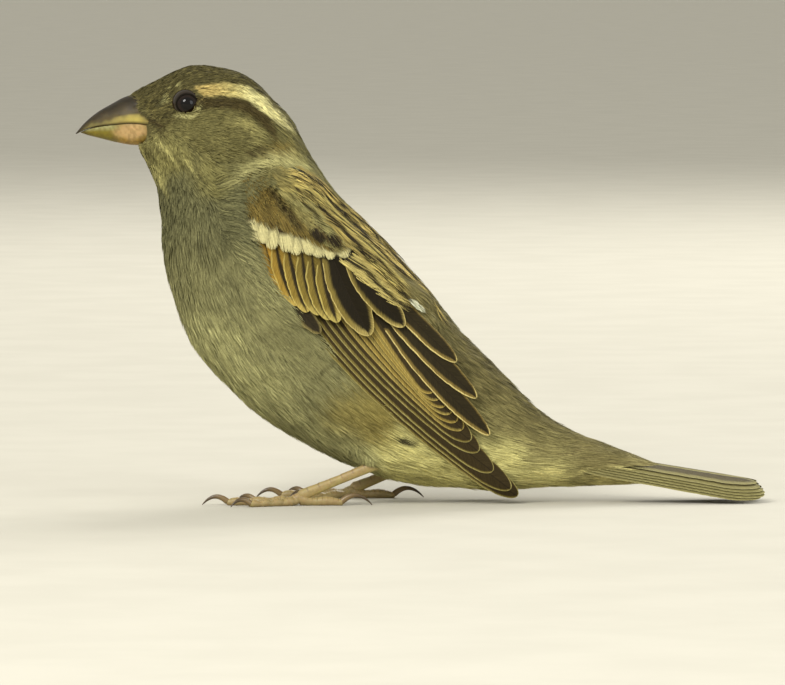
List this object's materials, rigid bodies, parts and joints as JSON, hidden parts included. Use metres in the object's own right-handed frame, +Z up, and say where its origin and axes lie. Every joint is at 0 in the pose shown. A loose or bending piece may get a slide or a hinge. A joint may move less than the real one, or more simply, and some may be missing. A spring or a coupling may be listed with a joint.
{
  "type": "house sparrow",
  "caption": "Female house sparrow standing alert on both feet, wings folded, tail laid on the ground behind it.",
  "frame": {"origin": "on the floor under the middle of the bird's bounding box", "axes": "+X towards the tail, -X towards the bill, +Y towards the bird's right side, +Z up"},
  "size_m": [0.127, 0.0382, 0.0808],
  "materials": {
    "plumage_head": "grey-brown streaked feathers, matte",
    "plumage_body": "soft buff-grey feathers, matte",
    "plumage_wing": "dark brown feathers with buff edges, satin",
    "plumage_tail": "grey-brown feathers with pale edges, satin",
    "horn": "smooth horn, dark on the ridge and straw below, semi-gloss",
    "eye": "wet, almost black brown",
    "leg": "pinkish tan scaled skin, satin",
    "claw": "dark horn, semi-gloss"
  },
  "bodies": {
    "root": {"head": "plumage_head", "bill_upper": "horn", "bill_lower": "horn", "left_eye": "eye", "right_eye": "eye", "neck": "plumage_body", "trunk": "plumage_body", "left_wing_shoulder": "plumage_wing", "right_wing_shoulder": "plumage_wing", "left_wing_greater_coverts": "plumage_wing", "right_wing_greater_coverts": "plumage_wing", "left_wing_tertials": "plumage_wing", "right_wing_tertials": "plumage_wing", "left_wing_secondaries": "plumage_wing", "right_wing_secondaries": "plumage_wing", "left_wing_primaries": "plumage_wing", "right_wing_primaries": "plumage_wing", "left_tail_feather_1": "plumage_tail", "right_tail_feather_1": "plumage_tail", "left_tail_feather_2": "plumage_tail", "right_tail_feather_2": "plumage_tail", "left_tail_feather_3": "plumage_tail", "right_tail_feather_3": "plumage_tail", "left_tail_feather_4": "plumage_tail", "right_tail_feather_4": "plumage_tail", "left_tail_feather_5": "plumage_tail", "right_tail_feather_5": "plumage_tail", "left_tail_feather_6": "plumage_tail", "right_tail_feather_6": "plumage_tail", "tail_coverts_over": "plumage_body", "tail_coverts_under": "plumage_body", "left_thigh": "plumage_body", "left_tarsus": "leg", "left_toe_middle": "leg", "left_claw_middle": "claw", "left_toe_inner": "leg", "left_claw_inner": "claw", "left_toe_outer": "leg", "left_claw_outer": "claw", "left_toe_hind": "leg", "left_claw_hind": "claw", "right_thigh": "plumage_body", "right_tarsus": "leg", "right_toe_middle": "leg", "right_claw_middle": "claw", "right_toe_inner": "leg", "right_claw_inner": "claw", "right_toe_outer": "leg", "right_claw_outer": "claw", "right_toe_hind": "leg", "right_claw_hind": "claw"}
  },
  "joints": []
}
